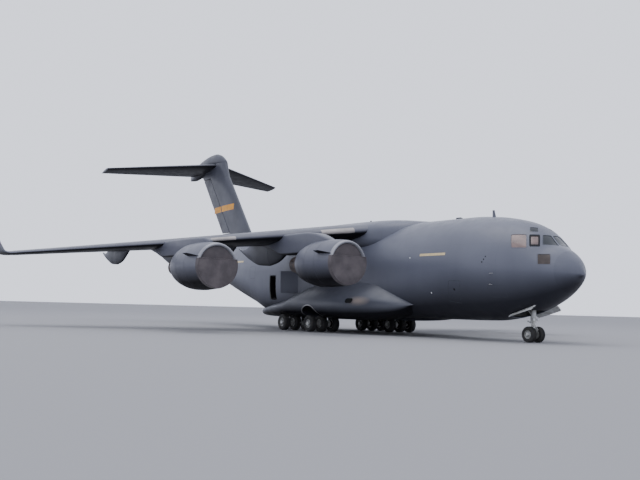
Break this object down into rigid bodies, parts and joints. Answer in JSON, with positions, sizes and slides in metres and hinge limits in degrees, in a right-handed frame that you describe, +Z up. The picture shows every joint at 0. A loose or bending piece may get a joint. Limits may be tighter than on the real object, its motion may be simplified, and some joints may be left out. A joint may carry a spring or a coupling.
{
  "type": "military transport plane, 1 to 2 scale model",
  "caption": "High-wing military transport plane with jet engines on pylons, a T-shaped tail, landing gear in side pods and a rear ramp, parked with covers in its engine intakes. Half real size.",
  "frame": {"origin": "centre of the plane's box, on the ground under its wheels", "axes": "+X towards the nose, +Y to the plane's left, +Z up"},
  "size_m": [26.27, 25.8798, 8.64],
  "materials": {
    "skin": "matt grey paint",
    "radome": "matt grey paint on composite",
    "cover": "matt",
    "exhaust": "heat-stained",
    "gear_leg": "gloss white paint",
    "tyre": "matt",
    "glass": "gloss, tinted",
    "interior": "matt",
    "floor": "worn"
  },
  "bodies": {
    "airframe": {"radome": "radome", "forward_fuselage": "skin", "flight_deck": "interior", "flight_deck_glass": "glass", "cargo_floor": "floor", "troop_door_left": "skin", "troop_door_right": "skin", "centre_fuselage": "skin", "aft_fuselage": "skin", "tail_cone": "skin", "gear_pod_left": "skin", "gear_pod_right": "skin", "main_leg_fore_left": "gear_leg", "main_leg_aft_left": "gear_leg", "main_leg_fore_right": "gear_leg", "main_leg_aft_right": "gear_leg", "nose_leg": "gear_leg", "wing_fairing": "skin", "wing_left": "skin", "wing_right": "skin", "nacelle_inner_left": "skin", "engine_inner_left": "exhaust", "intake_cover_inner_left": "cover", "pylon_inner_left": "skin", "nacelle_outer_left": "skin", "engine_outer_left": "exhaust", "intake_cover_outer_left": "cover", "pylon_outer_left": "skin", "nacelle_inner_right": "skin", "engine_inner_right": "exhaust", "intake_cover_inner_right": "cover", "pylon_inner_right": "skin", "nacelle_outer_right": "skin", "engine_outer_right": "exhaust", "intake_cover_outer_right": "cover", "pylon_outer_right": "skin", "tailplane": "skin", "fin": "skin"},
    "cargo_ramp": {"cargo_ramp": "skin"},
    "cargo_door": {"cargo_door": "skin"},
    "crew_door": {"crew_door": "skin"},
    "air_deflector_left": {"air_deflector_left": "skin"},
    "air_deflector_right": {"air_deflector_right": "skin"},
    "nose_fork": {"nose_fork": "gear_leg"},
    "nose_wheels": {"nose_wheels": "tyre"},
    "aileron_left": {"aileron_left": "skin"},
    "aileron_right": {"aileron_right": "skin"},
    "flap_inner_left": {"flap_inner_left": "skin"},
    "flap_outer_left": {"flap_outer_left": "skin"},
    "flap_inner_right": {"flap_inner_right": "skin"},
    "flap_outer_right": {"flap_outer_right": "skin"},
    "rudder": {"rudder": "skin"},
    "elevator_left": {"elevator_left": "skin"},
    "elevator_right": {"elevator_right": "skin"},
    "main_wheels_fore_left": {"main_wheels_fore_left": "tyre"},
    "main_wheels_fore_right": {"main_wheels_fore_right": "tyre"},
    "main_wheels_aft_left": {"main_wheels_aft_left": "tyre"},
    "main_wheels_aft_right": {"main_wheels_aft_right": "tyre"}
  },
  "joints": [
    {"name": "nose_steering", "type": "hinge", "parent": "airframe", "child": "nose_fork", "pos_m": [11.26, 0, 0], "axis": [0, 0, 1], "range_deg": [-65, 65]},
    {"name": "nose_wheels_roll", "type": "hinge", "parent": "nose_fork", "child": "nose_wheels", "pos_m": [11.26, 0, 0.24912], "axis": [0, 1, 0], "continuous": true},
    {"name": "main_wheels_fore_left_roll", "type": "hinge", "parent": "airframe", "child": "main_wheels_fore_left", "pos_m": [2.51, 0, 0.3114], "axis": [0, 1, 0], "continuous": true},
    {"name": "main_wheels_fore_right_roll", "type": "hinge", "parent": "airframe", "child": "main_wheels_fore_right", "pos_m": [2.51, 0, 0.3114], "axis": [0, 1, 0], "continuous": true},
    {"name": "main_wheels_aft_left_roll", "type": "hinge", "parent": "airframe", "child": "main_wheels_aft_left", "pos_m": [0.685, 0, 0.3114], "axis": [0, 1, 0], "continuous": true},
    {"name": "main_wheels_aft_right_roll", "type": "hinge", "parent": "airframe", "child": "main_wheels_aft_right", "pos_m": [0.685, 0, 0.3114], "axis": [0, 1, 0], "continuous": true},
    {"name": "cargo_ramp_hinge", "type": "hinge", "parent": "airframe", "child": "cargo_ramp", "pos_m": [-2.305, -1.175, 0.78], "axis": [0, -1, 0], "range_deg": [0, 26]},
    {"name": "cargo_door_hinge", "type": "hinge", "parent": "airframe", "child": "cargo_door", "pos_m": [-8.345, -0.675, 2.42], "axis": [0, -1, 0], "range_deg": [0, 28]},
    {"name": "crew_door_hinge", "type": "hinge", "parent": "airframe", "child": "crew_door", "pos_m": [9.735, 1.15894, 1.135], "axis": [-0.9973, 0.0728, 0], "range_deg": [0, 105]},
    {"name": "air_deflector_left_hinge", "type": "hinge", "parent": "airframe", "child": "air_deflector_left", "pos_m": [0.47, 1.67387, 1.475], "axis": [0, 0.0333, 0.9994], "range_deg": [0, 26]},
    {"name": "air_deflector_right_hinge", "type": "hinge", "parent": "airframe", "child": "air_deflector_right", "pos_m": [0.47, -1.67387, 1.475], "axis": [0, -0.0333, 0.9994], "range_deg": [-26, 0]},
    {"name": "flap_inner_left_hinge", "type": "hinge", "parent": "airframe", "child": "flap_inner_left", "pos_m": [0.92884, 2.275, 2.49888], "axis": [0.3038, -0.9523, 0.0287], "range_deg": [0, 40]},
    {"name": "flap_outer_left_hinge", "type": "hinge", "parent": "airframe", "child": "flap_outer_left", "pos_m": [-0.15745, 5.68, 2.3963], "axis": [0.3038, -0.9523, 0.0287], "range_deg": [0, 40]},
    {"name": "flap_inner_right_hinge", "type": "hinge", "parent": "airframe", "child": "flap_inner_right", "pos_m": [0.92884, -2.275, 2.49888], "axis": [-0.3038, -0.9523, -0.0287], "range_deg": [0, 40]},
    {"name": "flap_outer_right_hinge", "type": "hinge", "parent": "airframe", "child": "flap_outer_right", "pos_m": [-0.15745, -5.68, 2.3963], "axis": [-0.3038, -0.9523, -0.0287], "range_deg": [0, 40]},
    {"name": "aileron_left_hinge", "type": "hinge", "parent": "airframe", "child": "aileron_left", "pos_m": [-1.38875, 9.25, 2.84382], "axis": [-0.2945, 0.9512, -0.0926], "range_deg": [-25, 25]},
    {"name": "aileron_right_hinge", "type": "hinge", "parent": "airframe", "child": "aileron_right", "pos_m": [-1.38875, -9.25, 2.84382], "axis": [-0.2945, -0.9512, -0.0926], "range_deg": [-25, 25]},
    {"name": "elevator_left_hinge", "type": "hinge", "parent": "airframe", "child": "elevator_left", "pos_m": [-11.60002, 0.425, 7.78039], "axis": [-0.2671, 0.962, -0.0562], "range_deg": [-15, 22]},
    {"name": "elevator_right_hinge", "type": "hinge", "parent": "airframe", "child": "elevator_right", "pos_m": [-11.60002, -0.425, 7.78039], "axis": [0.2671, 0.962, 0.0562], "range_deg": [-15, 22]},
    {"name": "rudder_hinge", "type": "hinge", "parent": "airframe", "child": "rudder", "pos_m": [-8.26757, 0, 4.5], "axis": [-0.6132, 0, 0.79], "range_deg": [-24, 24]}
  ],
  "couplings": [
    {"joint": "flap_outer_left_hinge", "follows": "flap_inner_left_hinge", "ratio": 1},
    {"joint": "flap_inner_right_hinge", "follows": "flap_inner_left_hinge", "ratio": 1},
    {"joint": "flap_outer_right_hinge", "follows": "flap_inner_left_hinge", "ratio": 1},
    {"joint": "aileron_right_hinge", "follows": "aileron_left_hinge", "ratio": 1},
    {"joint": "elevator_right_hinge", "follows": "elevator_left_hinge", "ratio": 1}
  ]
}
